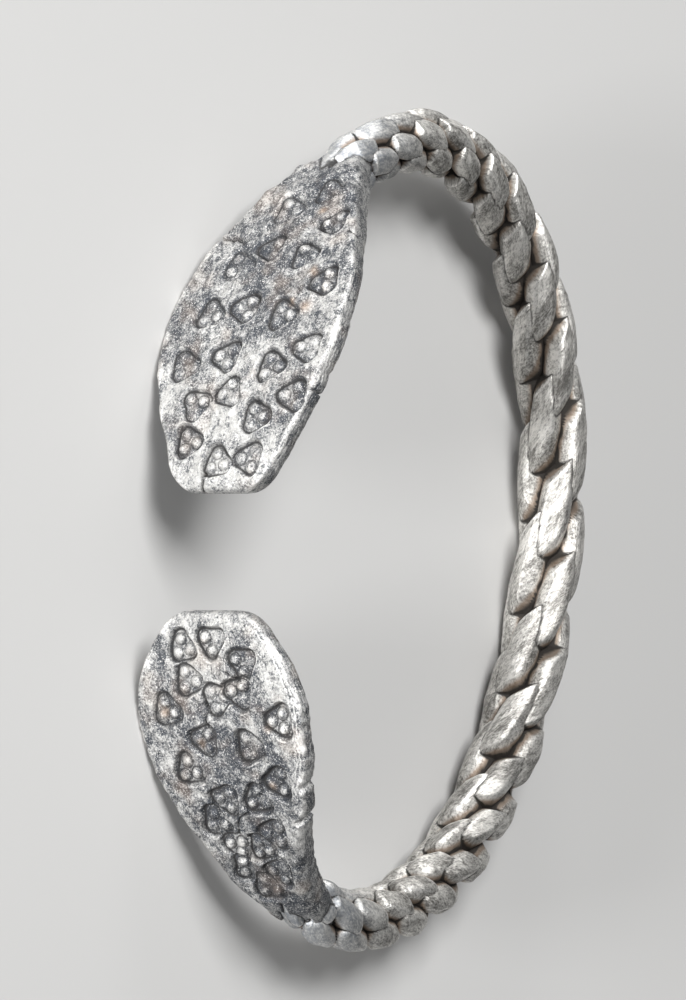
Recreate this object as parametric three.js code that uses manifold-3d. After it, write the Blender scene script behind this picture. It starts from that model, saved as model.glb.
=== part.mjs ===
// Braided silver arm ring, open at the front, in millimetres with +Z up.
// Eight tapering rods are braided into an oval hoop. At both ends they are hammered together into a
// broad leaf-shaped plate that follows the oval and is punched all over with small triangular stamps.
// The ring lies loose on its side. It rests on the lower edges of both plates and on the back of the
// braid, so the hoop leans forward a little. The origin is on the ground at the middle of its box.

import * as THREE from 'three';
import { mergeVertices } from 'three/addons/utils/BufferGeometryUtils.js';
import Module from 'manifold-3d';

const wasm = await Module();
wasm.setup();

// Hoop: the oval middle line that braid and plates follow
const hoopLength = 70.2;
const hoopWidth = 51.2;
const openingPlace = -74.5; // degrees round the oval, from its right-hand end
const openingWidth = 10;

// Braid
const braidThickness = 6.3; // at the back
const braidEndThickness = 5.4; // where it meets the plates
const rodCount = 8;
const rodWidth = 3; // rod section at the back of the braid
const rodDepth = 2;
const waveAtBack = 14.2; // length in which a rod comes up, lies outside and dives again
const waveAtEnds = 6.3;
const waveFading = 3.4; // how soon the waves grow short away from the back
const waveStart = 0.6; // part of a wave that is already done at the long plate
const turnAtBack = 33; // degrees that a rod moves round the braid in one wave
const turnAtEnds = 50;
const rodStep = 135; // degrees from one rod to the next round the braid
const rodSway = 14; // degrees that a rod hurries on while it dives
const rodSlant = 0.9; // how far a rod's ends are cut askew at the back, as a share of its width
const braidTurn = -96; // degrees that the whole braid is turned about its middle line
const diveDepth = 1.35; // how far a rod's middle sinks where others pass over it
const riseEnd = 0.22; // share of a wave at which the rod has come up
const diveStart = 0.78; // share of a wave at which its nose begins
const diveEnd = 0.93; // share of a wave at which it is down again
const rodReach = 4.5; // the rods run on this far into the plates
const rodGather = 0.14; // how much they draw together there, for each millimetre

// Plates: width and thickness across, height along the ring's axis
const longPlateLength = 35.5;
const longPlateHeight = 18.3;
const longPlateWidest = 15; // from the free end
const longPlateTaper = 1.3; // how hollow the sides are towards the braid
const shortPlateLength = 31.5;
const shortPlateHeight = 17.2;
const shortPlateWidest = 9;
const shortPlateTaper = 2.1;
const plateEndHeight = 8.4; // at the blunt free end
const plateThickness = 1.8;
const neckHeight = 5.8; // where a plate meets the braid
const neckThickness = 4.2;
const neckRunOut = 2.2; // the plate dwindles between the rods over this length
const edgeBevel = 0.5; // across the thickness; twice as much along the height
const edgeShare = 0.25; // where the edge's ridge lies, as a share of the half thickness
const endShare = 0.72; // height of the free end's face, as a share of the height behind it
const runOutShare = 0.4; // size that is left of the neck at the end of its run-out

// Stamps: rounded triangles, sunk, with three pellets
const stampSize = 3.2; // side of the triangle
const stampDepth = 0.35;
const stampRounding = 30; // degrees that each rounded corner takes, seen from the stamp's middle
const pelletSize = 0.95;
const pelletHeight = 0.3;
const pelletSpacing = 0.78; // from the stamp's middle

// Stamps, by where the apex points: 0 to the braid, 90 up. Each spot gives the distance from the free
// end, and the height as a share of the plate's half height there.
const longPlateStamps = [
  { apex: -90, spots: [[2.9, 0.49], [8.5, 0.76], [12.9, 0.71], [19.5, 0.67], [25.8, 0.65]] },
  { apex: 90, spots: [[6.6, 0.38], [11.2, 0.35], [16.1, 0.31], [22.3, 0.34], [29.4, 0.42]] },
  { apex: -90, spots: [[12.2, -0.2], [16.9, -0.15], [23.1, -0.14]] },
  { apex: 90, spots: [[4.4, -0.59], [11.3, -0.67], [16.3, -0.54]] },
  { apex: 0, spots: [[2.6, -0.07], [8.8, -0.07], [21.2, -0.46], [27.2, -0.18]] },
  { apex: 180, spots: [[7.7, -0.48]] },
];
const shortPlateStamps = [
  { apex: -90, spots: [[9.3, 0.72], [14.6, 0.66], [19.7, 0.5], [23.6, 0.43]] },
  { apex: 60, spots: [[11.6, 0.31], [16.4, 0.31], [21.1, 0.19]] },
  { apex: -105, spots: [[11.1, -0.22], [16.5, -0.16], [20.9, -0.27], [25.3, -0.05]] },
  { apex: 70, spots: [[3.1, -0.48], [5.9, -0.35], [8.5, -0.62], [13.8, -0.53], [18.6, -0.45], [23.3, -0.35]] },
  { apex: 0, spots: [[2.6, -0.02], [4.4, 0.41], [6.9, 0.28], [7.5, -0.01]] },
];

// Nicks in the plates' edges: distance from the free end, side, width, depth
const longPlateNicks = [
  { place: 23.4, side: -1, width: 0.8, depth: 1.6 },
  { place: 5.4, side: 1, width: 1, depth: 1.3 },
];
const shortPlateNicks = [
  { place: 26.8, side: -1, width: 0.8, depth: 1.2 },
  { place: 14, side: 1, width: 0.9, depth: 0.9 },
];

const silver = new THREE.MeshStandardMaterial({ color: 0xb9b6b0, roughness: 0.42, metalness: 0.9 });
const weldDistance = 1e-5;
const radians = Math.PI / 180;
const axis = new THREE.Vector3(0, 0, 1);

// The oval, walked once round from the middle of the opening
function walkOval() {
  const steps = 1440;
  const marks = [{ angle: openingPlace * radians, walked: 0 }];
  let last = ovalPoint(marks[0].angle);
  for (let i = 1; i <= steps; i += 1) {
    const angle = marks[0].angle + (i / steps) * 2 * Math.PI;
    const next = ovalPoint(angle);
    marks.push({ angle, walked: marks[i - 1].walked + next.distanceTo(last) });
    last = next;
  }
  return marks;
}

function ovalPoint(angle) {
  return new THREE.Vector3((hoopLength / 2) * Math.cos(angle), (hoopWidth / 2) * Math.sin(angle), 0);
}

const marks = walkOval();
const girth = marks[marks.length - 1].walked;
const braidFrom = girth - openingWidth / 2 - longPlateLength; // walked distance at the long plate
const braidLength = braidFrom - openingWidth / 2 - shortPlateLength;

// Point and outward direction at a walked distance
function ovalPlace(walked) {
  const high = marks.findIndex((mark) => mark.walked >= walked);
  const after = marks[Math.max(high, 1)];
  const before = marks[Math.max(high, 1) - 1];
  const share = (walked - before.walked) / (after.walked - before.walked);
  const angle = THREE.MathUtils.lerp(before.angle, after.angle, share);
  const forward = new THREE.Vector3(-hoopLength * Math.sin(angle), hoopWidth * Math.cos(angle), 0);
  forward.normalize();
  return { point: ovalPoint(angle), outward: forward.cross(axis) };
}

// A closed skin over a row of rings that all have the same number of points
function loft(rings) {
  const count = rings[0].length;
  const positions = rings.flat().flatMap((point) => point.toArray());
  const faces = [];
  for (let ring = 0; ring < rings.length - 1; ring += 1) {
    for (let side = 0; side < count; side += 1) {
      const a = ring * count + side;
      const b = ring * count + ((side + 1) % count);
      faces.push(a, b, b + count, a, b + count, a + count);
    }
  }
  const lastRing = (rings.length - 1) * count;
  for (let side = 1; side < count - 1; side += 1) {
    faces.push(0, side + 1, side);
    faces.push(lastRing, lastRing + side, lastRing + side + 1);
  }
  const geometry = new THREE.BufferGeometry();
  geometry.setAttribute('position', new THREE.Float32BufferAttribute(positions, 3));
  geometry.setIndex(faces);
  return geometry;
}

function solidOf(geometry) {
  const bare = geometry.clone();
  bare.deleteAttribute('normal');
  bare.deleteAttribute('uv');
  const merged = mergeVertices(bare, weldDistance);
  const vertProperties = new Float32Array(merged.attributes.position.array);
  const triVerts = new Uint32Array(merged.index.array);
  return new wasm.Manifold(new wasm.Mesh({ numProp: 3, vertProperties, triVerts }));
}

// Braid thickness and wave length, both largest at the back
function bulge(along) {
  return Math.sin(Math.PI * THREE.MathUtils.clamp(along / braidLength, 0, 1));
}

// Inside a plate the rods draw together
function braidRadius(along) {
  const inside = Math.max(-along, along - braidLength, 0);
  const thickness = THREE.MathUtils.lerp(braidEndThickness, braidThickness, bulge(along));
  return thickness / 2 - rodGather * inside;
}

// Waves counted from the long plate, the distance at which each count is reached, and the degrees
// that a rod has moved round the braid by then
function countWaves() {
  const step = 0.1;
  const before = -rodReach / waveAtEnds;
  const counts = [{ along: -rodReach, waves: before, turned: before * turnAtEnds }];
  for (let along = step - rodReach; along <= braidLength + rodReach; along += step) {
    const last = counts[counts.length - 1];
    const waves = step / THREE.MathUtils.lerp(waveAtEnds, waveAtBack, bulge(along) ** waveFading);
    const turned = waves * THREE.MathUtils.lerp(turnAtEnds, turnAtBack, bulge(along) ** 2);
    counts.push({ along, waves: last.waves + waves, turned: last.turned + turned });
  }
  return counts;
}

const counts = countWaves();

function countAt(waves) {
  const high = counts.findIndex((entry) => entry.waves >= waves);
  const after = counts[high];
  const before = counts[high - 1];
  const share = (waves - before.waves) / (after.waves - before.waves);
  const along = THREE.MathUtils.lerp(before.along, after.along, share);
  return { along, turned: THREE.MathUtils.lerp(before.turned, after.turned, share) };
}

// How far a rod has come up at a share of its wave, 0 to 1
function rodHeight(share) {
  const risen = ((share - diveEnd + 1) % 1) / (riseEnd - diveEnd + 1);
  const left = share < diveEnd ? (diveEnd - share) / (diveEnd - diveStart) : 1;
  return Math.min(risen, left, 1);
}

// A rod's middle line: it rises from under its neighbour, lies outside and dives at a blunt nose
function rodMiddle(rod, waves) {
  const { along, turned } = countAt(waves);
  const place = ovalPlace(braidFrom - along);
  const radius = braidRadius(along);
  const size = (2 * radius) / braidThickness;
  const phase = waves + waveStart - rod / rodCount;
  const share = phase - Math.floor(phase);
  const sway = rodSway * Math.sin(2 * Math.PI * share);
  const turn = (braidTurn + rod * rodStep + turned + sway) * radians;
  const out = place.outward.clone().multiplyScalar(Math.cos(turn));
  out.addScaledVector(axis, Math.sin(turn));
  const depth = diveDepth * (1 - rodHeight(share));
  const distance = radius - (rodDepth / 2 + depth) * size;
  const slant = rodSlant * bulge(along);
  return { point: place.point.clone().addScaledVector(out, distance), out, size, slant };
}

// Rod section: a flat hammered top, sloping shoulders and upright sides
const rodSection = [
  [-0.32, 0.5],
  [-0.5, -0.1],
  [-0.5, -0.9],
  [0.5, -0.9],
  [0.5, -0.1],
  [0.32, 0.5],
];

function rodRing(rod, waves) {
  const { point, out, size, slant } = rodMiddle(rod, waves);
  const nearby = 0.01;
  const ahead = rodMiddle(rod, waves + nearby).point;
  const direction = ahead.sub(rodMiddle(rod, waves - nearby).point).normalize();
  const up = out.clone().addScaledVector(direction, -out.dot(direction)).normalize();
  const side = up.clone().cross(direction).addScaledVector(direction, -slant);
  return rodSection.map(([across, high]) => {
    const corner = point.clone().addScaledVector(side, across * rodWidth * size);
    return corner.addScaledVector(up, high * rodDepth * size);
  });
}

function makeRod(rod) {
  const margin = 0.03; // in waves, so that both ends of a rod lie within the counted length
  const firstWave = counts[0].waves + margin;
  const lastWave = counts[counts.length - 1].waves - margin;
  const rings = [];
  for (let wave = Math.floor(firstWave); wave <= lastWave + 1; wave += 1) {
    for (const share of [riseEnd, diveStart, diveEnd]) {
      const waves = wave + share - waveStart + rod / rodCount;
      if (waves > firstWave && waves < lastWave) rings.push(rodRing(rod, waves));
    }
  }
  return solidOf(loft(rings));
}

// Plate height at a distance from the free end: blunt and rounded, widest, then drawn in to the neck
function plateHalfHeight(plate, distance) {
  if (distance <= plate.widest) {
    const share = Math.sin((Math.PI / 2) * (Math.max(distance, 0) / plate.widest));
    return THREE.MathUtils.lerp(plateEndHeight, plate.height, share) / 2;
  }
  const closing = Math.min((distance - plate.widest) / (plate.length - plate.widest), 1);
  const share = Math.cos((Math.PI / 2) * closing);
  return THREE.MathUtils.lerp(neckHeight, plate.height, Math.max(share, 0) ** plate.taper) / 2;
}

function plateHalfThickness(plate, distance) {
  const share = THREE.MathUtils.smoothstep(distance, plate.widest, plate.length);
  return THREE.MathUtils.lerp(plateThickness, neckThickness, share ** 1.5) / 2;
}

function platePlace(plate, distance) {
  const walked = openingWidth / 2 + distance;
  return ovalPlace(plate.side > 0 ? walked : girth - walked);
}

function plateRing(plate, distance, cut) {
  const place = platePlace(plate, distance);
  const high = plateHalfHeight(plate, distance) * cut;
  const thick = plateHalfThickness(plate, distance) * Math.min(1, cut / endShare);
  const necked = THREE.MathUtils.smoothstep(distance, plate.widest, plate.length);
  const slope = Math.min(THREE.MathUtils.lerp(edgeBevel * 2, neckHeight / 4, necked), high / 2);
  const corners = [
    [thick, high - slope],
    [thick * edgeShare, high],
    [-thick, high - slope],
    [-thick, slope - high],
    [thick * edgeShare, -high],
    [thick, slope - high],
  ];
  if (plate.side > 0) corners.reverse();
  return corners.map(([outward, up]) => {
    const corner = place.point.clone().addScaledVector(place.outward, outward);
    return corner.addScaledVector(axis, up);
  });
}

function plateBody(plate) {
  const rings = [plateRing(plate, 0, endShare), plateRing(plate, edgeBevel, 1)];
  const steps = 11; // rings along the plate
  for (let step = 1; step <= steps; step += 1) {
    rings.push(plateRing(plate, edgeBevel + ((plate.length - edgeBevel) * step) / steps, 1));
  }
  rings.push(plateRing(plate, plate.length + neckRunOut, runOutShare));
  return solidOf(loft(rings));
}

// A tool turned to a plate's outer face, with its own z pointing out of the face
function onPlate(plate, geometry, distance, level, turn) {
  const place = platePlace(plate, distance);
  const high = plateHalfHeight(plate, distance);
  const matrix = new THREE.Matrix4().makeBasis(axis.clone().cross(place.outward), axis, place.outward);
  matrix.multiply(new THREE.Matrix4().makeRotationZ(turn));
  const spot = place.point.clone().addScaledVector(axis, level * high);
  spot.addScaledVector(place.outward, plateHalfThickness(plate, distance));
  matrix.setPosition(spot);
  return solidOf(geometry.clone().applyMatrix4(matrix));
}

function stampPocket() {
  const outline = new THREE.Shape();
  const reach = stampSize / Math.sqrt(3);
  const cut = (stampRounding / 2) * radians;
  for (let corner = 0; corner < 3; corner += 1) {
    const angle = (corner * 2 * Math.PI) / 3;
    for (const side of [-cut, cut]) {
      const x = reach * Math.cos(angle + side);
      const y = reach * Math.sin(angle + side);
      if (corner === 0 && side < 0) outline.moveTo(x, y);
      else outline.lineTo(x, y);
    }
  }
  outline.closePath();
  const clearOfFace = 1.2;
  const pocket = new THREE.ExtrudeGeometry(outline, {
    depth: stampDepth + clearOfFace,
    bevelEnabled: false,
  });
  return pocket.translate(0, 0, -stampDepth);
}

function stampPellet(corner) {
  const bed = 0.1; // how deep the pellet is rooted in the plate
  const facets = 3;
  const pellet = new THREE.ConeGeometry(pelletSize / 2, pelletHeight + bed, facets);
  pellet.rotateX(Math.PI / 2);
  pellet.translate(0, 0, (pelletHeight - bed) / 2 - stampDepth);
  const angle = (corner * 2 * Math.PI) / 3;
  return pellet.translate(pelletSpacing * Math.cos(angle), pelletSpacing * Math.sin(angle), 0);
}

function stampPlate(body, plate) {
  let solid = body;
  const pocket = stampPocket();
  for (const { apex, spots } of plate.stamps) {
    const turn = (plate.side > 0 ? apex : 180 - apex) * radians;
    for (const [distance, level] of spots) {
      solid = solid.subtract(onPlate(plate, pocket, distance, level, turn));
      for (let corner = 0; corner < 3; corner += 1) {
        solid = solid.add(onPlate(plate, stampPellet(corner), distance, level, turn));
      }
    }
  }
  return solid;
}

function nickPlate(body, plate) {
  let solid = body;
  for (const nick of plate.nicks) {
    const wedge = new THREE.Shape();
    wedge.moveTo(-nick.width, nick.depth);
    wedge.lineTo(0, -nick.depth);
    wedge.lineTo(nick.width, nick.depth);
    const through = 12; // longer than the bent plate is thick, so the nick goes right through
    const tool = new THREE.ExtrudeGeometry(wedge, { depth: through, bevelEnabled: false });
    tool.translate(0, 0, -through / 2);
    const turn = nick.side > 0 ? 0 : Math.PI;
    solid = solid.subtract(onPlate(plate, tool, nick.place, nick.side, turn));
  }
  return solid;
}

function makePlate(plate) {
  return nickPlate(stampPlate(plateBody(plate), plate), plate);
}

const longPlate = {
  side: -1,
  length: longPlateLength,
  height: longPlateHeight,
  widest: longPlateWidest,
  taper: longPlateTaper,
  stamps: longPlateStamps,
  nicks: longPlateNicks,
};
const shortPlate = {
  side: 1,
  length: shortPlateLength,
  height: shortPlateHeight,
  widest: shortPlateWidest,
  taper: shortPlateTaper,
  stamps: shortPlateStamps,
  nicks: shortPlateNicks,
};

// The ring is forged in one: rods and plates are joined, and what the rods close off inside is metal
function makeRing() {
  let solid = makePlate(longPlate).add(makePlate(shortPlate));
  for (let rod = 0; rod < rodCount; rod += 1) solid = solid.add(makeRod(rod));
  const shells = solid.decompose().sort((a, b) => b.volume() - a.volume());
  return shells[0];
}

function geometryOf(solid) {
  const mesh = solid.getMesh();
  const geometry = new THREE.BufferGeometry();
  geometry.setAttribute('position', new THREE.BufferAttribute(new Float32Array(mesh.vertProperties), 3));
  geometry.setIndex(new THREE.BufferAttribute(new Uint32Array(mesh.triVerts), 1));
  return geometry;
}

// Lying down: the three lowest places, one on each plate and one under the braid, come level
function layDown(geometry) {
  const rounds = 4;
  for (let round = 0; round < rounds; round += 1) {
    const lowest = [null, null, null];
    const vertex = new THREE.Vector3();
    for (let i = 0; i < geometry.attributes.position.count; i += 1) {
      vertex.fromBufferAttribute(geometry.attributes.position, i);
      let part = 2;
      if (vertex.y < 0) part = vertex.x < ovalPoint(openingPlace * radians).x ? 0 : 1;
      if (!lowest[part] || vertex.z < lowest[part].z) lowest[part] = vertex.clone();
    }
    const [left, right, back] = lowest;
    const normal = right.clone().sub(left).cross(back.clone().sub(left)).normalize();
    const turn = new THREE.Quaternion().setFromUnitVectors(normal, axis);
    geometry.applyQuaternion(turn);
  }
  geometry.computeBoundingBox();
  const box = geometry.boundingBox;
  geometry.translate(-(box.min.x + box.max.x) / 2, -(box.min.y + box.max.y) / 2, -box.min.z);
  return geometry;
}

const ring = new THREE.Mesh(layDown(geometryOf(makeRing())), silver);
ring.name = 'arm_ring';
const group = new THREE.Group();
group.add(ring);

export default group;
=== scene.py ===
import math
import bpy
import numpy as np
from mathutils import Matrix, Vector
from mathutils.bvhtree import BVHTree


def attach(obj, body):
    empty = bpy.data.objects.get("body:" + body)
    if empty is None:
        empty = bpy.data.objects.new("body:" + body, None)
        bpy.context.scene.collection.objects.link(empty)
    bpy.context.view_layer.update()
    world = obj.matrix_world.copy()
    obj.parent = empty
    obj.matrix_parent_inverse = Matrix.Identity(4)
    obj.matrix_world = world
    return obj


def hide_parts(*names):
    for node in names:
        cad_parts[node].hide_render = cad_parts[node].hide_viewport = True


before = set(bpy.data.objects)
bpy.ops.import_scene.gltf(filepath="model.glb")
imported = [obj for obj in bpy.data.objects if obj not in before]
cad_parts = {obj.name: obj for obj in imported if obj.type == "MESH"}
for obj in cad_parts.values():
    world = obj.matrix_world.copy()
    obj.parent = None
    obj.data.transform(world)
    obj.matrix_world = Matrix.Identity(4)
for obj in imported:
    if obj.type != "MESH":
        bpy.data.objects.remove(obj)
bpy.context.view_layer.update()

# Braided silver arm ring, lying on a pale floor. All shaping is done in millimetres with the
# ring flat, its middle at the origin, and layDown() brings it to the solid's place in metres.

hoop = dict(
    length=70.2,              # oval middle line
    width=51.2,
    openingPlace=-74.5,       # degrees round the oval
    openingWidth=10.0,
    lean=6.4606,              # degrees that the lying ring leans forward
    roll=-0.0091,
    shift=(0.0553, -0.7792, 6.3068),
    steps=6000,               # points of the middle line that lengths are counted on
)


def makeOval():
    # angles round the oval middle line, and the length walked to each of them
    turns = np.linspace(0, 2 * math.pi, hoop["steps"] + 1)
    angles = math.radians(hoop["openingPlace"]) + turns
    x = hoop["length"] / 2 * np.cos(angles)
    y = hoop["width"] / 2 * np.sin(angles)
    walked = np.concatenate([[0], np.cumsum(np.hypot(np.diff(x), np.diff(y)))])
    return angles, walked


ovalAngles, ovalWalked = makeOval()
girth = ovalWalked[-1]


def ovalAt(walked):
    # points on the middle line, and the directions that face away from the wrist
    angles = np.interp(walked, ovalWalked, ovalAngles)
    x, y, zeros = np.cos(angles), np.sin(angles), np.zeros_like(angles)
    points = np.stack([hoop["length"] / 2 * x, hoop["width"] / 2 * y, zeros], -1)
    outward = np.stack([hoop["width"] * x, hoop["length"] * y, zeros], -1)
    return points, unit(outward)


def unit(vectors):
    return vectors / np.linalg.norm(vectors, axis=-1, keepdims=True)


def layTurn(vectors):
    lean = Matrix.Rotation(-math.radians(hoop["lean"]), 3, "X")
    roll = Matrix.Rotation(-math.radians(hoop["roll"]), 3, "Y")
    return np.asarray(vectors, float) @ np.array(lean @ roll).T


def layDown(points):
    return (layTurn(points) + np.array(hoop["shift"])) * 0.001


def smooth(values, low=0.0, high=1.0):
    share = np.clip((values - low) / (high - low), 0, 1)
    return share * share * (3 - 2 * share)


def quarterRound(shares):
    # rises from 0 to 1 along a quarter of a circle
    return np.sqrt(1 - (1 - np.clip(shares, 0, 1)) ** 2)


def bell(values, width):
    return np.exp(-(values / width) ** 2)


def grain(points, size, seed):
    # a smooth random field, about -1 to 1, whose lumps are about this size
    waves = 28
    random = np.random.default_rng(seed)
    directions = unit(random.normal(size=(waves, points.shape[-1])))
    lengths = random.uniform(0.6, 1.5, waves)[:, None] * 2 * math.pi / (2.2 * size)
    shifts = random.uniform(0, 2 * math.pi, waves)
    return np.cos(points @ (directions * lengths).T + shifts).sum(-1) / math.sqrt(waves)


def lumpy(points, layers, seed):
    # several such fields together; each layer has a height, a size and a seed of its own
    return sum(height * grain(points, size, seed + own) for height, size, own in layers)


def ringMesh(name, rings, marks):
    # a mesh from rings of points, with what the finish reads stored at them
    rows, columns = rings.shape[:2]
    numbers = np.arange(rows * columns).reshape(rows, columns)
    following = np.roll(numbers, -1, axis=1)
    faces = np.stack([numbers[:-1], following[:-1], following[1:], numbers[1:]], -1).reshape(-1, 4)
    ends = [numbers[0][::-1].tolist(), numbers[-1].tolist()]
    laid = layDown(rings.reshape(-1, 3))
    laid[:, 2] = np.maximum(laid[:, 2], 0)      # nothing sinks into the floor
    mesh = bpy.data.meshes.new(name)
    mesh.from_pydata(laid.tolist(), [], faces.tolist() + ends)
    mesh.polygons.foreach_set("use_smooth", [True] * len(mesh.polygons))
    for key, values in marks.items():
        values = np.asarray(values, np.float32)
        if values.ndim == 3:
            stored = mesh.attributes.new(key, "FLOAT_VECTOR", "POINT")
            stored.data.foreach_set("vector", values.ravel())
        else:
            stored = mesh.attributes.new(key, "FLOAT", "POINT")
            stored.data.foreach_set("value", values.ravel())
    mesh.update()
    piece = bpy.data.objects.new(name, mesh)
    bpy.context.scene.collection.objects.link(piece)
    return piece


class Wire:
    # a number socket, so that shader maths reads as plain sums
    def __init__(self, finish, socket):
        self.finish = finish
        self.socket = socket

    def maths(self, operation, first, second):
        made = self.finish.node("ShaderNodeMath", {"operation": operation}, {0: first, 1: second})
        return Wire(self.finish, made.outputs[0])

    def __add__(self, other):
        return self.maths("ADD", self, other)

    def __radd__(self, other):
        return self.maths("ADD", other, self)

    def __sub__(self, other):
        return self.maths("SUBTRACT", self, other)

    def __rsub__(self, other):
        return self.maths("SUBTRACT", other, self)

    def __mul__(self, other):
        return self.maths("MULTIPLY", self, other)

    def __rmul__(self, other):
        return self.maths("MULTIPLY", other, self)

    def held(self, low, high):
        # stretched from low..high to 0..1, with soft ends
        made = self.finish.node("ShaderNodeMapRange", {"interpolation_type": "SMOOTHSTEP"},
                                {"Value": self, "From Min": low, "From Max": high})
        return Wire(self.finish, made.outputs[0])


class Finish:
    def __init__(self, name):
        self.material = bpy.data.materials.new(name)
        self.material.use_nodes = True
        self.tree = self.material.node_tree
        self.tree.nodes.clear()

    def node(self, kind, settings=None, inputs=None):
        made = self.tree.nodes.new(kind)
        for key, value in (settings or {}).items():
            setattr(made, key, value)
        for key, value in (inputs or {}).items():
            if isinstance(value, Wire):
                self.tree.links.new(value.socket, made.inputs[key])
            else:
                made.inputs[key].default_value = value
        return made

    def stored(self, name):
        made = self.node("ShaderNodeAttribute", {"attribute_name": name})
        return Wire(self, made.outputs["Fac"])

    def storedPlace(self, name):
        made = self.node("ShaderNodeAttribute", {"attribute_name": name})
        return Wire(self, made.outputs["Vector"])

    def stretched(self, place, factors):
        made = self.node("ShaderNodeVectorMath", {"operation": "MULTIPLY"}, {0: place, 1: factors})
        return Wire(self, made.outputs[0])

    def noise(self, place, size, detail, roughness):
        inputs = {"Vector": place, "Scale": 1 / size, "Detail": detail, "Roughness": roughness}
        made = self.node("ShaderNodeTexNoise", {"noise_dimensions": "3D"}, inputs)
        return Wire(self, made.outputs["Fac"])

    def mixed(self, share, first, second):
        # sockets 6 and 7 are the two colours
        made = self.node("ShaderNodeMix", {"data_type": "RGBA"}, {0: share, 6: first, 7: second})
        return Wire(self, made.outputs[2])

    def bumped(self, height, distance, strength):
        inputs = {"Height": height, "Distance": distance, "Strength": strength}
        made = self.node("ShaderNodeBump", {}, inputs)
        return Wire(self, made.outputs[0])

    def surface(self, inputs):
        shader = self.node("ShaderNodeBsdfPrincipled", {}, inputs)
        output = self.node("ShaderNodeOutputMaterial")
        self.tree.links.new(shader.outputs[0], output.inputs[0])
        return self.material


plateLook = dict(
    dark=(0.048, 0.054, 0.065, 1),        # tarnish
    pale=(0.54, 0.535, 0.52, 1),          # rubbed silver
    bright=(0.90, 0.885, 0.86, 1),
    # near black for painted shade and soil in hollows and between pieces
    soilAndShade=(0.020, 0.019, 0.019, 1),
    tan=(0.50, 0.35, 0.24, 1),
    metal=0.60,
    roughness=0.40,
    cloud=(3.1, 3.0, 0.55),               # noises: size in millimetres, detail, roughness
    patches=(0.75, 4.0, 0.6),
    speckle=(0.19, 4.0, 0.75),
    glint=(0.13, 2.0, 0.6),
    tint=(2.9, 2.0, 0.5),
    mottled=(1.56, 2.14),                 # their sum goes from dark to pale between these
    bump=(0.00009, 0.9),                  # in metres, and strength
)


def plateFinish():
    finish = Finish("worn_silver_plate")
    look = plateLook
    place = finish.storedPlace("lay")
    hollow = finish.stored("hollow")
    wearAndSheen = finish.stored("wearAndSheen")
    cool = finish.stored("cool")
    cloud = finish.noise(place, *look["cloud"])
    patches = finish.noise(place, *look["patches"])
    speckle = finish.noise(place, *look["speckle"])
    glint = finish.noise(place, *look["glint"]).held(0.57, 0.69)
    tint = finish.noise(place, *look["tint"]).held(0.50, 0.75)
    # the hollows darken the mottle a little too, as painted shade
    mottle = cloud * 0.95 + patches * 1.10 + speckle * 1.6 - cool * 0.15 - hollow * 0.20
    colour = finish.mixed(mottle.held(*look["mottled"]), look["dark"], look["pale"])
    # painted highlight with wear: lit rims, worn edges and pellet tops are mixed towards bright
    rubbedAndHighlighted = (wearAndSheen * (speckle * 2.6 - 0.45)).held(0.10, 0.85)
    colour = finish.mixed(rubbedAndHighlighted * 0.85, colour, look["bright"])
    colour = finish.mixed(glint * 0.75, colour, look["bright"])
    colour = finish.mixed(tint * 0.16, colour, look["tan"])
    colour = finish.mixed(finish.stored("tan") * speckle * 0.9, colour, look["tan"])
    # painted shade with soil: hollows, cracks and places where pieces touch are darkened towards
    # near black
    grimeAndShade = (hollow + finish.stored("touching") * 0.9).held(0.22, 1.0)
    colour = finish.mixed(grimeAndShade * 0.95, colour, look["soilAndShade"])
    metal = look["metal"] + wearAndSheen * 0.25 - grimeAndShade * 0.45
    rough = look["roughness"] + grimeAndShade * 0.25 - wearAndSheen * 0.10 + speckle * 0.10
    normal = finish.bumped(speckle * 1.2 + patches * 1.1, *look["bump"])
    return finish.surface({"Base Color": colour, "Metallic": metal, "Roughness": rough,
                           "Normal": normal})


rodLook = dict(
    dark=(0.155, 0.148, 0.136, 1),
    pale=(0.78, 0.76, 0.72, 1),
    bright=(0.93, 0.91, 0.875, 1),
    # near black for painted shade and soil in sunk places and between pieces
    soilAndShade=(0.014, 0.012, 0.010, 1),
    brown=(0.27, 0.19, 0.13, 1),
    cool=(0.30, 0.325, 0.36, 1),
    metal=0.68,
    roughness=0.38,
    cloud=(2.6, 3.0, 0.55),
    patches=(0.7, 4.0, 0.6),
    speckle=(0.20, 4.0, 0.72),
    drawn=(0.35, 4.0, 0.6),
    drawnOut=(0.14, 1.5, 1.0),            # this noise runs in streaks along the rod
    mottled=(1.36, 2.02),
    bump=(0.00010, 0.8),
)


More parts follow.
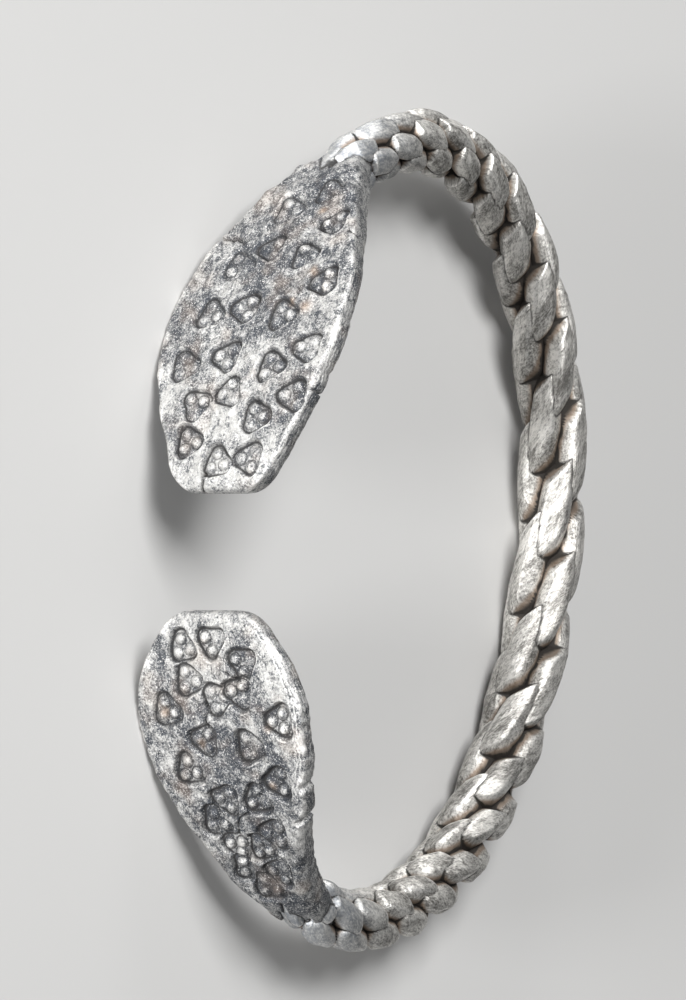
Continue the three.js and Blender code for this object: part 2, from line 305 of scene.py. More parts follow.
def rodFinish():
    finish = Finish("worn_silver_rod")
    look = rodLook
    place = finish.storedPlace("lay")
    sunk = finish.stored("hollow")
    touching = finish.stored("touching")
    wearAndSheen = finish.stored("wearAndSheen")
    cool = finish.stored("cool")
    cloud = finish.noise(place, *look["cloud"])
    patches = finish.noise(place, *look["patches"])
    speckle = finish.noise(place, *look["speckle"])
    drawn = finish.noise(finish.stretched(place, look["drawnOut"]), *look["drawn"])
    mottle = (cloud * 0.9 + patches * 0.7 + speckle * 1.4 + drawn * 0.4).held(*look["mottled"])
    colour = finish.mixed(mottle, look["dark"], look["pale"])
    colour = finish.mixed(cool * (1 - mottle * 0.5) * 0.75, colour, look["cool"])
    # painted highlight with wear: the worn crease and the edge where a stitch comes out are mixed
    # towards bright
    rubbedAndHighlighted = (wearAndSheen * (speckle * 2.0 - 0.10)).held(0.15, 0.90)
    colour = finish.mixed(rubbedAndHighlighted * 0.75, colour, look["bright"])
    earthy = (sunk * (0.5 + cloud)).held(0.12, 0.50)
    colour = finish.mixed(earthy * 0.80, colour, look["brown"])
    # painted shade with soil: sunk places between stitches and where pieces touch are darkened
    # towards near black
    grimeAndShade = (sunk * 1.15 + touching * (0.65 + 0.6 * patches)).held(0.35, 1.0)
    colour = finish.mixed(grimeAndShade * 0.97, colour, look["soilAndShade"])
    metal = look["metal"] + wearAndSheen * 0.22 - grimeAndShade * 0.5
    rough = look["roughness"] + grimeAndShade * 0.3 - wearAndSheen * 0.08 + speckle * 0.12
    normal = finish.bumped(speckle * 0.7 + patches * 0.9 + drawn * 0.6, *look["bump"])
    return finish.surface({"Base Color": colour, "Metallic": metal, "Roughness": rough,
                           "Normal": normal})


longPlate = dict(
    name="long_plate",
    side=-1,
    length=35.5,
    height=18.3,
    widest=15.0,              # from the free end
    taper=1.3,
    seed=11,
    # place from the free end, height, where the apex points (0 to the braid, 90 up), depth
    stamps=[
        (29.4, 2.1, 92, 0.8), (27.2, -1.1, -28, 0.6), (25.8, 4.3, -95, 1.0), (23.1, -1.1, -94, 0.9),
        (22.3, 2.7, 91, 0.9), (21.2, -3.8, -24, 0.5), (19.5, 5.8, -99, 1.0), (16.3, -4.9, 105, 0.8),
        (16.9, -1.4, -89, 1.0), (16.1, 2.8, 91, 0.9), (12.9, 6.4, -90, 1.1), (12.2, -1.8, -89, 1.0),
        (11.2, 3.1, 91, 1.0), (11.3, -5.9, 90, 0.8), (8.5, 6.1, -90, 1.1), (8.8, -0.6, 15, 1.0),
        (7.7, -3.7, -173, 0.9), (6.6, 2.8, 94, 1.0), (4.4, -3.8, 90, 1.3), (2.9, 2.8, -86, 1.1),
        (2.6, -0.4, -11, 1.2),
    ],
    # place, side, width, depth
    nicks=[(24.1, -1, 0.28, 1.2), (9.0, 1, 0.14, 0.6), (10.9, 1, 0.4, 0.25), (33.0, -1, 0.5, 0.4)],
    # points from end to end of a crack, its width and depth
    cracks=[
        ([(24.2, -7.6), (24.0, -4.9), (23.6, -4.1)], 0.15, 0.8),
        ([(9.0, 9.9), (8.95, 8.5)], 0.10, 0.5),
        ([(-0.2, -1.7), (0.7, -1.5), (1.5, -1.6)], 0.14, 0.9),
        ([(15.9, 0.4), (14.7, 0.0), (13.7, -0.6)], 0.06, 0.12),
        ([(24.6, 6.2), (24.4, 7.1)], 0.08, 0.3),
        ([(20.6, 6.4), (20.0, 7.0)], 0.06, 0.15),
        ([(22.3, -0.2), (21.2, -0.8)], 0.06, 0.12),
        ([(32.6, 0.4), (34.4, 0.9), (36.4, 0.6), (39.6, 0.9)], 0.18, 0.8),
        ([(33.6, -1.5), (35.4, -1.2), (39.6, -1.4)], 0.15, 0.6),
    ],
    # warm stains: place, height, size
    tan=[(16.8, 5.0, 0.55), (17.3, 3.4, 0.35), (26.9, 2.6, 0.4), (20.5, 4.4, 0.4)],
    # darker tarnish: place, height, size, strength
    cool=[(21.5, 1.0, 4.5, 1.0), (31.0, 0.5, 3.5, 1.2), (17.5, -6.0, 2.5, 0.8),
          (6.0, 5.5, 2.0, 0.6), (4.0, 0.0, 5.0, -0.8)],
    layered=False,
)

shortPlate = dict(
    name="short_plate",
    side=1,
    length=31.5,
    height=17.2,
    widest=9.0,
    taper=2.1,
    seed=23,
    stamps=[
        (3.1, -3.1, 72, 1.1), (2.6, -0.1, -4, 1.1), (4.4, 3.0, 0, 1.0), (5.9, -2.8, 87, 1.0),
        (8.5, -5.3, 74, 0.8), (7.5, -0.1, -16, 1.1), (6.9, 2.3, 17, 1.1), (9.3, 6.2, -89, 1.0),
        (11.1, -1.9, -98, 0.8), (11.6, 2.6, 80, 1.0), (13.8, -4.2, 66, 1.0), (14.8, 4.8, -88, 1.0),
        (16.5, -1.1, -103, 0.9), (16.4, 2.2, 58, 1.0), (18.6, -2.8, 68, 0.8), (19.7, 2.9, -99, 0.9),
        (20.9, -1.4, -112, 0.8), (21.1, 1.0, 74, 0.9), (23.3, -1.5, 72, 0.7), (23.6, 1.8, -99, 0.8),
        (25.3, -0.2, 62, 0.8),
    ],
    nicks=[(30.6, -1, 0.5, 1.0), (15.2, 1, 0.5, 0.35), (18.4, 1, 0.4, 0.5)],
    cracks=[
        ([(7.9, -1.3), (8.5, -1.1), (9.2, -1.4), (9.9, -1.3)], 0.10, 0.5),
        ([(17.6, 0.9), (18.0, -0.1), (18.8, -0.6), (19.7, -0.6)], 0.10, 0.4),
        ([(27.3, 0.2), (28.6, -0.3), (30.4, -1.6), (31.6, -3.0)], 0.20, 0.9),
        ([(5.2, 1.4), (5.8, 2.4)], 0.10, 0.4),
        ([(6.9, -5.0), (7.6, -5.4)], 0.07, 0.25),
        ([(28.4, -0.9), (30.2, -1.3), (32.0, -1.1), (35.6, -1.3)], 0.20, 0.9),
        ([(29.8, 1.3), (31.6, 0.8), (33.4, 1.1), (35.6, 0.9)], 0.16, 0.7),
    ],
    tan=[(8.6, -5.6, 0.5), (11.4, -2.2, 0.4), (15.2, 4.0, 0.35), (9.8, 5.0, 0.35)],
    cool=[(13.5, 0.5, 3.0, 0.9), (19.0, 1.0, 2.0, 0.9), (27.0, 1.0, 3.5, 1.2),
          (3.0, -1.0, 4.0, -0.5)],
    layered=True,             # layers end short of the upper edge
)

stamp = dict(
    core=0.80,                # the triangle before its outline is rounded
    rounding=0.92,
    reach=3.2,                # half the patch of plate that one stamp changes
    depth=0.40,
    lean=0.14,                # slope of the bed at most
    wall=0.09,
    wobble=0.035,
    gutter=0.12,              # the bed is deeper by this along its wall
    gutterPlace=-0.17,        # from the outline, inwards
    gutterWidth=0.10,
    pellet=0.50,
    pelletHeight=0.46,
    spacing=0.76,
    astray=0.05,              # pellets lie this far off their places
    rim=0.04,
    rimPlace=0.13,
    rimWidth=0.11,
    sway=3,                   # degrees
)

plateShape = dict(
    endHeight=8.4,
    thickness=1.8,
    neckHeight=5.8,
    neckThickness=4.2,
    neckFrom=6.0,             # from the widest place, where the edges begin to grow round
    neckRunOut=3.5,           # before the braid, where the neck begins to dwindle
    neckLeft=0.5,             # share of it that is left deep between the rods
    intoBraid=4.0,
    endRound=0.9,             # the free end's edges are rounded over this length
    endLeft=0.12,             # share of the thickness that is left at its very end
    cornerLength=1.8,
    cornerHeight=1.5,
    bevel=0.40,               # outer edges
    neckBevel=1.5,
    backBevel=0.25,           # inner edges
    neckBackBevel=1.25,
    worn=0.08,                # the edges lie this far inside the solid's
    step=0.1,                 # from one ring of points to the next
    across=160,               # points over the outer face, on each edge and over the inner face
    edgeSteps=26,
    backSteps=24,
)

# surface of the plates, each layer with height, size and seed
plateGrain = dict(
    face=[(0.07, 2.4, 50), (0.03, 0.55, 51), (0.012, 0.24, 53)],
    neck=[(0.13, 1.4, 75)],
    edge=[(0.08, 2.4, 0), (0.035, 0.45, 5)],
    layers=[(0.20, 3.2, 60), (0.04, 0.6, 61)],
    inner=[(0.05, 2.6, 90)],
    chips=0.16,               # depth
    pits=0.06,
    layerLines=[(0.35, 0.10), (0.75, 0.08)],    # from the upper edge, and how far each falls
    layerWidth=0.05,
    edgeLayer=0.34,           # thickness of the hammered layers that show on the edges
    edgeLayerDepth=0.022,
    edgeBulge=0.10,
)


def halfHeightOf(plate, distance):
    shape = plateShape
    beyond = (distance - plate["widest"]) / (plate["length"] - plate["widest"])
    opening = np.sin(math.pi / 2 * np.clip(distance / plate["widest"], 0, 1))
    opening = shape["endHeight"] + (plate["height"] - shape["endHeight"]) * opening
    closing = np.cos(math.pi / 2 * np.clip(beyond, 0, 1)) ** plate["taper"]
    closing = shape["neckHeight"] + (plate["height"] - shape["neckHeight"]) * closing
    return np.where(distance <= plate["widest"], opening, closing) / 2


def halfThicknessOf(plate, distance):
    shape = plateShape
    share = smooth(distance, plate["widest"], plate["length"]) ** 1.5
    return (shape["thickness"] + (shape["neckThickness"] - shape["thickness"]) * share) / 2


def roundedTriangle(x, y):
    # distance to the outline of a round-cornered triangle with its apex along x, less than 0 inside
    core = stamp["core"]
    nearest = np.full(x.shape, 9.0)
    beyond = np.full(x.shape, -9.0)
    for facing in (math.pi, math.pi / 3, -math.pi / 3):
        out = x * math.cos(facing) + y * math.sin(facing) - core / 2
        along = np.abs(y * math.cos(facing) - x * math.sin(facing)) - core * math.sqrt(0.75)
        nearest = np.minimum(nearest, np.hypot(out, np.maximum(along, 0)))
        beyond = np.maximum(beyond, out)
    return np.where(beyond < 0, -nearest, nearest) - stamp["rounding"]


def stampRelief(plate, distance, height):
    random = np.random.default_rng(plate["seed"])
    relief = np.zeros_like(distance)
    hollow = np.zeros_like(distance)
    wearAndSheen = np.zeros_like(distance)
    for place, level, apex, strength in plate["stamps"]:
        turn = math.radians(apex + random.uniform(-1, 1) * stamp["sway"])
        lean = random.uniform(-stamp["lean"], stamp["lean"], 2)
        size = random.uniform(0.97, 1.05)
        near = np.abs(distance - place) < stamp["reach"]
        near &= np.abs(height - level) < stamp["reach"]
        along = (distance[near] - place) / size
        across = (height[near] - level) / size
        x = along * math.cos(turn) + across * math.sin(turn)
        y = across * math.cos(turn) - along * math.sin(turn)
        lumps = grain(np.stack([along, across], -1), 0.9, int(random.integers(9999)))
        outline = roundedTriangle(x, y) + stamp["wobble"] * lumps
        inside = smooth(-outline, -stamp["wall"], stamp["wall"])
        # painted shade darkens the gutter on the lower side and towards -X, and a painted highlight
        # brightens the rim on the other side
        facing = 0.45 * plate["side"] * along + 0.9 * across
        shadedSide = 0.5 - 0.5 * facing / (np.hypot(along, across) + 0.3)
        bed = stamp["depth"] * strength * (1 + lean[0] * x + lean[1] * y)
        gutter = bell(outline - stamp["gutterPlace"], stamp["gutterWidth"])
        sunk = -(bed + stamp["gutter"] * strength * gutter) * inside
        pellets = np.zeros_like(x)
        crevice = np.zeros_like(x)
        for corner in range(3):
            angle = corner * 2 * math.pi / 3
            shown = random.uniform(0.55, 1.0) if random.random() > 0.15 else 0.3
            asideX = random.uniform(-stamp["astray"], stamp["astray"])
            asideY = random.uniform(-stamp["astray"], stamp["astray"])
            awayX = x - stamp["spacing"] * math.cos(angle) - asideX
            awayY = y - stamp["spacing"] * math.sin(angle) - asideY
            away = np.hypot(awayX, awayY) / stamp["pellet"]
            pellets = np.maximum(pellets, np.sqrt(np.clip(1 - away ** 2, 0, 1)) * shown)
            crevice = np.maximum(crevice, bell(away - 1.10, 0.14) * shown)
        sunk = sunk + pellets * stamp["pelletHeight"] * (0.5 + 0.5 * strength) * inside
        rim = bell(outline - stamp["rimPlace"], stamp["rimWidth"])
        raised = relief[near] + rim * stamp["rim"] * strength
        relief[near] = np.where(inside > 0.02, np.minimum(relief[near], sunk), raised)
        # painted shade with some soil: the bed, the gutter along its wall and the ring round each
        # pellet are darker, the gutter most on the shaded side
        dark = 0.31 + gutter * (0.48 + 0.85 * shadedSide) * min(1, strength) + 0.62 * crevice
        dark = inside * np.clip(dark - 1.1 * pellets ** 2, 0, 1)
        hollow[near] = np.maximum(hollow[near] * (1 - inside), dark)
        patchy = np.clip(0.55 + 0.42 * lumps, 0, 1)
        # painted highlight on the rim away from the shaded side, over a little wear all round; worn
        # pellet tops are brighter too
        rubbedAndHighlighted = (0.05 + 0.75 * (1 - shadedSide)) * rim * strength * patchy
        rubbedAndHighlighted = np.maximum(rubbedAndHighlighted, 0.85 * pellets ** 3 * inside)
        wearAndSheen[near] = np.maximum(wearAndSheen[near] * (1 - inside), rubbedAndHighlighted)
    return relief, hollow, wearAndSheen


def crackRelief(plate, distance, height):
    relief = np.zeros_like(distance)
    hollow = np.zeros_like(distance)
    sway = 0.045 * grain(np.stack([distance, height], -1), 0.35, plate["seed"] + 40)
    for points, width, depth in plate["cracks"]:
        nearest = np.full(distance.shape, 9.0)
        for start, end in zip(points, points[1:]):
            x, y = distance - start[0], height - start[1]
            run, rise = end[0] - start[0], end[1] - start[1]
            share = np.clip((x * run + y * rise) / (run ** 2 + rise ** 2), 0, 1)
            nearest = np.minimum(nearest, np.hypot(x - share * run, y - share * rise))
        cut = bell(nearest + sway, width)
        relief -= depth * cut
        hollow = np.maximum(hollow, cut * min(1, depth * 3.5))
    return relief, hollow


def edgeHeight(plate, distance, half, side):
    # how far the upper (1) or lower (-1) edge lies from the middle, with chips and nicks
    line = np.stack([distance, np.full(len(distance), side * 40.0)], -1)
    rough = lumpy(line, plateGrain["edge"], plate["seed"] + side)
    chips = smooth(grain(line, 0.8, plate["seed"] + 15 + side), 1.2, 2.0)
    fade = smooth(distance, 0, 2) * (1 - smooth(distance, plate["length"] - 3, plate["length"]))
    edge = half + (rough - plateGrain["chips"] * chips) * fade - plateShape["worn"]
    for place, nickSide, width, depth in plate["nicks"]:
        if nickSide == side:
            edge = edge - depth * np.clip(1 - np.abs(distance - place) / width, 0, 1) ** 0.8
    return edge


def outerFace(plate, distance, top, bottom, thick, necked):
    # heights, distances outwards, and what the finish reads
    seed = plate["seed"]
    height = bottom + (top - bottom) * np.linspace(0, 1, plateShape["across"])
    far = distance + 0 * height
    flat = np.stack([far, height], -1)
    relief, hollow, wearAndSheen = stampRelief(plate, far, height)
    cut, split = crackRelief(plate, far, height)
    pits = smooth(grain(flat, 0.26, seed + 52), 1.2, 2.1)
    relief = relief + lumpy(flat, plateGrain["face"], seed) - plateGrain["pits"] * pits
    hollow = np.maximum(hollow, 0.75 * pits)
    if plate["layered"]:
        drift = lumpy(flat, plateGrain["layers"], seed)
        shown = smooth(far, 0.6, 2.5) * (1 - smooth(far, 13, 18))
        for line, fall in plateGrain["layerLines"]:
            step = (top - height + drift - line) / plateGrain["layerWidth"]
            relief -= fall * shown * (1 - smooth(step, -1, 1))
            wearAndSheen = np.maximum(wearAndSheen, 0.7 * shown * bell(step - 1.2, math.sqrt(2)))
            hollow = np.maximum(hollow, 0.5 * shown * bell(step + 1.2, math.sqrt(2)))
    toEdge = np.minimum(height - bottom, top - height)
    radius = plateShape["bevel"] + (plateShape["neckBevel"] - plateShape["bevel"]) * necked
    bevel = radius * (1 - quarterRound(toEdge / radius))
    lumps = grain(flat, 1.2, seed + 70)
    worn = bell(toEdge, 0.50 + 0.22 * lumps) * (0.55 + 0.30 * lumps) * (1 - 0.8 * necked)
    wearAndSheen = np.maximum(wearAndSheen, np.clip(worn, 0, 1))
    fade = 1 - smooth(far, plate["length"] - 2, plate["length"])
    relief = relief * fade + cut + lumpy(flat, plateGrain["neck"], seed) * necked
    out = thick - bevel * np.minimum(1, thick) + relief * np.clip(thick, 0, 1)
    return height, out, np.maximum(hollow, split), wearAndSheen * (1 - split)


def edgeFace(plate, distance, edge, side, fromOut, backEdge, thick, necked):
    # the same for the upper or lower edge, where the hammered layers show
    seed = plate["seed"]
    share = np.linspace(0, 1, plateShape["edgeSteps"] + 2)[1:-1]
    arch = np.sin(math.pi * share)
    shown = arch ** 0.5
    out = fromOut + (backEdge - fromOut) * share
    place = np.stack([distance + 0 * out, out, np.full(out.shape, side * 9.0)], -1)
    drift = 0.55 * grain(place * np.array([0.35, 0.6, 1]), 0.9, seed + 80 + side)
    layers = np.cos(2 * math.pi * (out / plateGrain["edgeLayer"] + drift))
    bulging = plateGrain["edgeBulge"] * arch + plateGrain["edgeLayerDepth"] * layers * shown
    level = edge + side * bulging * (1 - necked) * np.clip(thick, 0, 1)
    broken = smooth(grain(place * np.array([0.5, 1, 1]), 0.8, seed + 85 + side), -0.5, 0.7)
    hollow = 0.42 * smooth(-layers, 0.2, 1.0) * shown * broken * (1 - necked)
    wearAndSheen = 0.50 * smooth(layers, 0.1, 1.0) * (1 - 0.6 * broken)
    return level, out, hollow, wearAndSheen


def innerFace(plate, distance, top, bottom, thick, necked, backRadius):
    level = top + (bottom - top) * np.linspace(0, 1, plateShape["backSteps"])
    toEdge = np.minimum(top - level, level - bottom)
    flat = np.stack([distance + 0 * level, level + 60], -1)
    roundOff = 1 - smooth(toEdge / (0.9 + 0.8 * necked))
    out = backRadius * np.minimum(1, thick) * roundOff - thick
    out = out + lumpy(flat, plateGrain["inner"], plate["seed"]) * smooth(toEdge, 0, 1)
    return level, out, 0 * out, 0 * out + 0.12


def makePlate(plate):
    shape = plateShape
    total = plate["length"] + shape["intoBraid"]
    distance = np.linspace(0, 1, int(total / shape["step"])) * total
    necked = smooth(distance, plate["widest"] + shape["neckFrom"], plate["length"])
    runOut = smooth(distance, plate["length"] - shape["neckRunOut"], total)
    dwindle = 1 - (1 - shape["neckLeft"]) * runOut
    endRound = quarterRound(distance / shape["endRound"])
    endRound = shape["endLeft"] + (1 - shape["endLeft"]) * endRound
    corner = shape["cornerHeight"] * (1 - quarterRound(distance / shape["cornerLength"]))
    thick = halfThicknessOf(plate, distance) * dwindle * endRound
    half = halfHeightOf(plate, distance) * dwindle - corner
    top = edgeHeight(plate, distance, half, 1)
    bottom = -edgeHeight(plate, distance, half, -1)
    distance, necked, thick, top, bottom = (
        each[:, None] for each in (distance, necked, thick, top, bottom))

    # round each ring of points: outer face, upper edge, inner face, lower edge
    outer = outerFace(plate, distance, top, bottom, thick, necked)
    backRadius = shape["backBevel"] + (shape["neckBackBevel"] - shape["backBevel"]) * necked
    backEdge = backRadius * np.minimum(1, thick) - thick
    upper = edgeFace(plate, distance, top, 1, outer[1][:, -1:], backEdge, thick, necked)
    inner = innerFace(plate, distance, top, bottom, thick, necked, backRadius)
    lower = edgeFace(plate, distance, bottom, -1, outer[1][:, :1], backEdge, thick, necked)
    lower = [each[:, ::-1] for each in lower]
    levels, outs, hollow, wearAndSheen = (
        np.concatenate(each, 1) for each in zip(outer, upper, inner, lower))
    far = distance + 0 * outs
    lay = np.stack([far, levels, outs * 1.3], -1) + np.array([plate["seed"] * 31.0, 0, 0])
    # tarnish is darker on the lower edge and where the plate says
    cool = 0 * outs
    cool[:, -shape["edgeSteps"]:] = 0.4
    for place, level, size, share in plate["cool"]:
        cool = cool + share * bell(np.hypot(far - place, levels - level), size)
    tan = 0 * outs
    for place, level, size in plate["tan"]:
        tan = np.maximum(tan, bell(np.hypot(far - place, levels - level), size) * (outs > 0))
    walked = hoop["openingWidth"] / 2 + distance[:, 0]
    points, outward = ovalAt(walked if plate["side"] > 0 else girth - walked)
    upwards = np.array([0, 0, 1.0])
    rings = points[:, None] + outward[:, None] * outs[..., None] + upwards * levels[..., None]
    marks = dict(lay=lay, hollow=hollow, wearAndSheen=wearAndSheen, tan=tan, cool=cool)
    if plate["side"] > 0:
        rings = rings[:, ::-1]
        marks = {key: values[:, ::-1] for key, values in marks.items()}
    return ringMesh(plate["name"], rings, marks)


braid = dict(
    thickness=6.3,            # at the back
    endThickness=5.4,
    rods=8,
    rodWidth=3.0,
    rodDepth=2.0,
    waveAtBack=14.2,          # length in which a rod comes up, lies outside and dives
    waveAtEnds=6.3,
    waveFading=3.4,           # how soon the waves grow short away from the back
    waveStart=0.6,
    turnAtBack=33.0,          # degrees round the braid in one wave
    turnAtEnds=50.0,
    rodStep=135.0,
    rodSway=-2.0,             # degrees that a rod lags behind as it comes up
    rodSlant=1.2,             # how far a rod's ends are cut askew at the back
    turn=-96.0,               # degrees that the whole braid is turned
    diveDepth=1.95,
    riseStart=0.09,           # shares of a wave
    riseEnd=0.20,
    riseBend=1.4,
    diveStart=0.73,
    diveEnd=0.86,
    crown=0.20,               # how far a rod arches between its ends
    reach=6.5,                # into the plates
    gather=0.24,
    stations=84,              # rings in one wave
    sunkFrom=0.28,            # below the braid's outline, where a rod begins to look sunk
    sunkOver=1.15,
    grain=[(0.050, 1.5, 400), (0.016, 0.45, 500)],
    creaseHeight=0.54,        # share of a rod's depth
    creaseWidth=0.09,
    touching=0.00012,         # metres within which soil and painted shade gather between two pieces
)

# what differs from one stitch to the next: seed, spread
stitch = dict(
    crease=(100, 0.24),       # shares of the rod's width and depth
    tilt=(200, 0.08),
    width=(300, 0.08),
    sway=(700, 4.0),          # degrees
    rise=(800, 0.02),         # shares of a wave
    dive=(900, 0.03),
    lift=(1000, 0.10),
)

braidFrom = girth - hoop["openingWidth"] / 2 - longPlate["length"]
braidLength = braidFrom - hoop["openingWidth"] / 2 - shortPlate["length"]


def bulge(along):
    return np.sin(math.pi * np.clip(along / braidLength, 0, 1))


def graded(along, atEnds, atBack, fading=1):
    return braid[atEnds] + (braid[atBack] - braid[atEnds]) * bulge(along) ** fading


def braidRadius(along):
    inside = np.maximum(np.maximum(-along, along - braidLength), 0)
    return graded(along, "endThickness", "thickness") / 2 - braid["gather"] * inside


def countWaves():
    step = 0.1
    along = np.arange(-braid["reach"], braidLength + braid["reach"], step)
    length = graded(along, "waveAtEnds", "waveAtBack", braid["waveFading"])
    turning = graded(along, "turnAtEnds", "turnAtBack", 2)
    waves = np.cumsum(step / length)
    turned = np.cumsum(step / length * turning)
    return along, waves - np.interp(0, along, waves), turned - np.interp(0, along, turned)


waveAlong, waveCount, waveTurned = countWaves()


def stitchValues(phase, rod, what):
    # one random value for each stitch of a rod
    seed, spread = stitch[what]
    values = np.random.default_rng(seed + rod).uniform(-spread, spread, 64)
    return values[np.floor(phase).astype(int) % 64]


def raisedAt(share, riseShift, diveShift):
    # a rod comes up over a ramp with a crisp upper edge, and dives at a round nose
    rise = (share - riseShift - braid["riseStart"]) / (braid["riseEnd"] - braid["riseStart"])
    fall = (share - diveShift - braid["diveStart"]) / (braid["diveEnd"] - braid["diveStart"])
    rise, fall = np.clip(rise, 0, 1), np.clip(fall, 0, 1)
    return np.minimum(rise ** braid["riseBend"], np.sqrt(1 - fall ** 2))


def rodMiddle(rod, waves):
    along = np.interp(waves, waveCount, waveAlong)
    points, outward = ovalAt(braidFrom - along)
    radius = braidRadius(along)
    size = 2 * radius / braid["thickness"]
    phase = waves + braid["waveStart"] - rod / braid["rods"]
    share = phase - np.floor(phase)
    sway = braid["rodSway"] * np.sin(2 * math.pi * share)
    sway = sway + stitchValues(phase, rod, "sway") * np.sin(math.pi * share) ** 0.5
    turned = np.interp(waves, waveCount, waveTurned)
    turn = np.radians(braid["turn"] + rod * braid["rodStep"] + turned + sway)
    out = outward * np.cos(turn)[:, None] + np.array([0, 0, 1.0]) * np.sin(turn)[:, None]
    away = radius - braid["rodDepth"] / 2 * size
    return points + out * away[:, None], points, out, size, phase, share, along, radius


def rounded(corners):
    for _ in range(2):
        following = np.roll(corners, -1, axis=-2)
        first = corners * 0.76 + following * 0.24
        second = corners * 0.24 + following * 0.76
        corners = np.stack([first, second], -2)
        corners = corners.reshape(*corners.shape[:-3], -1, 2)
    return corners


def rodSection(crease, tilt):
    # two hammered facets on top that meet in a crease, sloping shoulders, narrower underside;
    # across and up, as shares of the rod's width and depth
    none = np.zeros_like(crease)
    corners = [(none - 0.36, 0.40 - tilt), (none - 0.50, none - 0.10), (none - 0.34, none - 0.90),
               (none + 0.34, none - 0.90), (none + 0.50, none - 0.10), (none + 0.36, 0.40 + tilt),
               (crease, none + braid["creaseHeight"])]
    return rounded(np.stack([np.stack(corner, -1) for corner in corners], 1))


def makeRod(rod):
    first, last = waveCount[0] + 0.03, waveCount[-1] - 0.03
    waves = np.linspace(first, last, int((last - first) * braid["stations"]))
    middle, points, out, size, phase, share, along, radius = rodMiddle(rod, waves)
    direction = unit(rodMiddle(rod, waves + 0.02)[0] - rodMiddle(rod, waves - 0.02)[0])
    up = unit(out - direction * (out * direction).sum(-1, keepdims=True))
    slant = (braid["rodSlant"] * bulge(along))[:, None]
    side = np.cross(up, direction) - slant * direction
    riseShift = stitchValues(phase, rod, "rise")
    raised = raisedAt(share, riseShift, stitchValues(phase, rod, "dive"))
    arch = (share - braid["riseEnd"]) / (braid["diveStart"] - braid["riseEnd"])
    arch = np.sin(math.pi * np.clip(arch, 0, 1))
    lift = stitchValues(phase, rod, "lift") * raised
    depth = braid["diveDepth"] * (1 - raised) - braid["crown"] * (arch - 0.7) - lift
    middle = middle - out * (depth * size)[:, None]

    crease = stitchValues(phase, rod, "crease")
    section = rodSection(crease, stitchValues(phase, rod, "tilt"))
    wide, deep = section[..., 0], section[..., 1]
    narrow = 0.98 - 0.26 * (1 - smooth(share, 0.06, 0.34)) - 0.30 * smooth(share, 0.64, 0.88)
    width = braid["rodWidth"] * size * (1 + stitchValues(phase, rod, "width")) * narrow
    across = wide * width[:, None]
    high = deep * (braid["rodDepth"] * size)[:, None]
    rings = middle[:, None] + side[:, None] * across[..., None] + up[:, None] * high[..., None]

    # hammered and worn surface
    lumps = lumpy(rings, braid["grain"], rod)
    fromMiddle = side[:, None] * across[..., None] + up[:, None] * (high + 0.6)[..., None]
    rings = rings + unit(fromMiddle) * (lumps * np.clip(deep + 0.5, 0, 1))[..., None]

    away = np.linalg.norm(rings - points[:, None], axis=-1)
    sunk = np.clip((radius[:, None] - braid["sunkFrom"] - away) / braid["sunkOver"], 0, 1)
    toCrease = np.abs(wide - crease[:, None]) + 0.06
    toCorner = np.minimum(np.abs(np.abs(wide) - 0.38), toCrease)
    wearAndSheen = 0.75 * bell(toCorner, braid["creaseWidth"]) * (1 - sunk) * smooth(deep, 0.05, 0.35)
    wearAndSheen = np.clip(wearAndSheen * (0.75 + 0.35 * grain(rings, 2.2, 600 + rod)), 0, 1)
    # a painted highlight brightens the edge where a stitch comes out, and the ramp below is painted
    # darker and browner, as shade
    fromEdge = (share - riseShift - braid["riseEnd"])[:, None]
    rubbedAndHighlighted = bell(fromEdge - 0.015, 0.030) * smooth(deep, -0.1, 0.3)
    wearAndSheen = np.maximum(wearAndSheen, 0.75 * rubbedAndHighlighted * (1 - sunk))
    ramp = smooth(-fromEdge, 0.010, 0.04) * smooth(share[:, None], 0.02, 0.06)
    sunk = np.maximum(sunk, 0.36 * ramp)
    fromPlates = smooth(along, 0, 12), smooth(along, braidLength - 10, braidLength)
    cool = np.maximum(1 - fromPlates[0], fromPlates[1])[:, None] + 0 * across
    lay = np.stack([along[:, None] + 0 * across, across, high], -1) + np.array([0, 12.0 * rod, 0])
    marks = dict(lay=lay, hollow=sunk, wearAndSheen=wearAndSheen, cool=cool)
    marks = {key: values[:, ::-1] for key, values in marks.items()}
    return ringMesh("rod_%d" % (rod + 1), rings[:, ::-1], marks)


def markTouching(pieces, reach):
    # soil and painted shade gather where one piece lies close against another
    shapes = []
    for piece in pieces:
        points = np.empty(len(piece.data.vertices) * 3)
        piece.data.vertices.foreach_get("co", points)
        faces = [list(face.vertices) for face in piece.data.polygons]
        shapes.append((points.reshape(-1, 3), faces))
    far = reach * 3
    for number, piece in enumerate(pieces):
        points, faces = [], []
        for other, (otherPoints, otherFaces) in enumerate(shapes):
            if other != number:
                first = sum(len(each) for each in points)
                points.append(otherPoints)
                faces += [[first + corner for corner in face] for face in otherFaces]
        tree = BVHTree.FromPolygons(np.concatenate(points).tolist(), faces)
        away = [tree.find_nearest(Vector(point), far)[3] for point in shapes[number][0].tolist()]
        away = np.array([far if each is None else each for each in away])
        stored = piece.data.attributes.new("touching", "FLOAT", "POINT")
        stored.data.foreach_set("value", bell(away, reach).astype(np.float32))


plateSilver = plateFinish()
rodSilver = rodFinish()
pieces = []
for plate in (longPlate, shortPlate):
    piece = makePlate(plate)
    piece.data.materials.append(plateSilver)
    pieces.append(piece)
print("plates made")
for rod in range(braid["rods"]):
    piece = makeRod(rod)
    piece.data.materials.append(rodSilver)
    pieces.append(piece)
print("braid made")
markTouching(pieces, braid["touching"])
print("touching places marked")

for piece in pieces:
    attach(piece, "root")
    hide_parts("arm_ring")


floorLook = dict(size=6.0, colour=(0.52, 0.516, 0.508, 1), roughness=0.8)


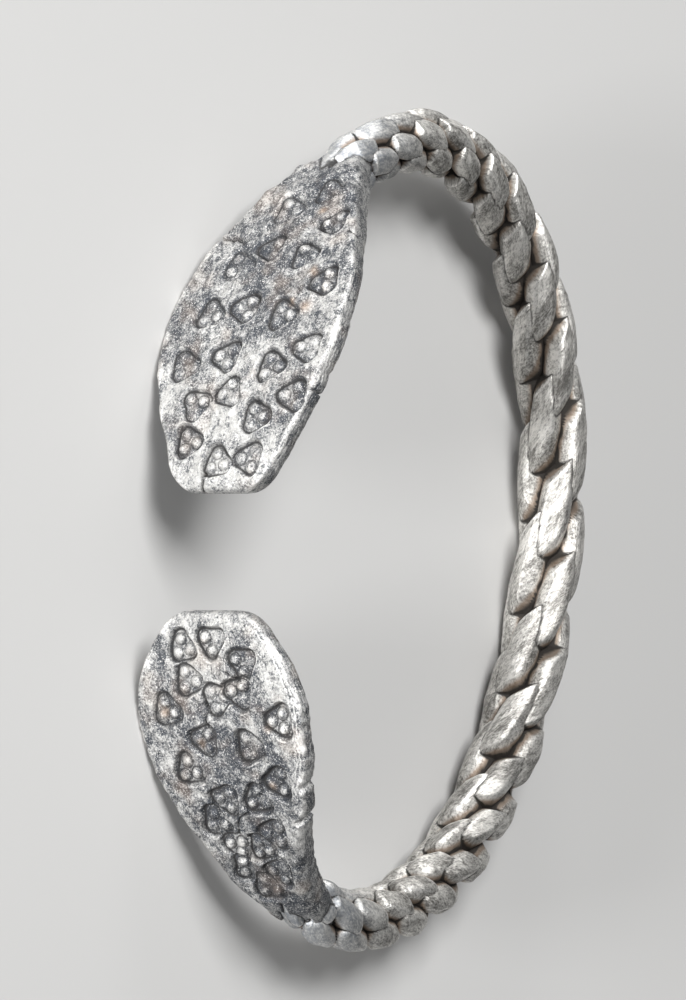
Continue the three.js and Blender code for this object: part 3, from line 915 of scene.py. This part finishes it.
def makeFloor():
    half = floorLook["size"] / 2
    corners = [(-half, -half, 0), (half, -half, 0), (half, half, 0), (-half, half, 0)]
    mesh = bpy.data.meshes.new("floor")
    mesh.from_pydata(corners, [], [(0, 1, 2, 3)])
    inputs = {"Base Color": floorLook["colour"], "Roughness": floorLook["roughness"]}
    mesh.materials.append(Finish("pale_floor").surface(inputs))
    floor = bpy.data.objects.new("floor", mesh)
    bpy.context.scene.collection.objects.link(floor)


makeFloor()


view = dict(
    elevation=34.0,           # degrees above the ring's own plane
    turn=16.616,
    target=(0.1, 1.6, 0.0),
    distance=600.0,
    lens=244.07,
    aimAside=-5.04,
    aimUp=2.66,
)


def makeCamera():
    # at the photo's angle on the ring, so it looks down on the lying ring from its open side
    tilt = math.radians(view["elevation"])
    turn = np.array(Matrix.Rotation(math.radians(view["turn"]), 3, "Z"))
    back = turn @ np.array([0, -math.cos(tilt), math.sin(tilt)])
    # the ring's long way is upright in the photo, with the long plate at the top
    right = turn @ np.array([0, math.sin(tilt), math.cos(tilt)])
    up = turn @ np.array([-1.0, 0, 0])
    target = turn @ np.array(view["target"])
    eye = target + back * view["distance"]
    aim = target + right * view["aimAside"] + up * view["aimUp"]
    backward = unit(eye - aim)
    rightward = unit(np.cross(up, backward))
    upward = np.cross(backward, rightward)
    axes = layTurn([rightward, upward, backward])
    place = Matrix([Vector(each) for each in axes.tolist()]).transposed().to_4x4()
    place.translation = Vector(layDown(eye).tolist())
    data = bpy.data.cameras.new("camera")
    data.lens = view["lens"]
    data.sensor_width = 36
    data.sensor_fit = "AUTO"
    data.clip_start = 0.01
    data.clip_end = 50
    camera = bpy.data.objects.new("camera", data)
    camera.matrix_world = place
    bpy.context.scene.collection.objects.link(camera)
    bpy.context.scene.camera = camera


makeCamera()


# a soft box low in front, a weaker one from the long plate's side, a large one high up
boxes = [
    dict(name="front_box", place=(0.27, -0.83, 0.11), size=(0.20, 0.16), power=10.0),
    dict(name="side_box", place=(-0.88, -0.24, 0.10), size=(0.20, 0.16), power=3.8),
    dict(name="top_box", place=(-0.30, -0.42, 0.75), size=(0.4, 0.4), power=10.0),
]
surround = dict(colour=(0.86, 0.88, 0.90, 1), strength=0.15)


def makeLights():
    for box in boxes:
        data = bpy.data.lights.new(box["name"], "AREA")
        data.shape = "RECTANGLE"
        data.size, data.size_y = box["size"]
        data.energy = box["power"]
        light = bpy.data.objects.new(box["name"], data)
        light.location = box["place"]
        toRing = Vector((0, 0, 0.008)) - Vector(box["place"])
        light.rotation_euler = toRing.to_track_quat("-Z", "Y").to_euler()
        bpy.context.scene.collection.objects.link(light)
    world = bpy.data.worlds.new("surround")
    world.use_nodes = True
    background = world.node_tree.nodes["Background"]
    background.inputs["Color"].default_value = surround["colour"]
    background.inputs["Strength"].default_value = surround["strength"]
    bpy.context.scene.world = world


makeLights()
bpy.context.scene.view_settings.view_transform = "Standard"
print("floor, camera and lights made")
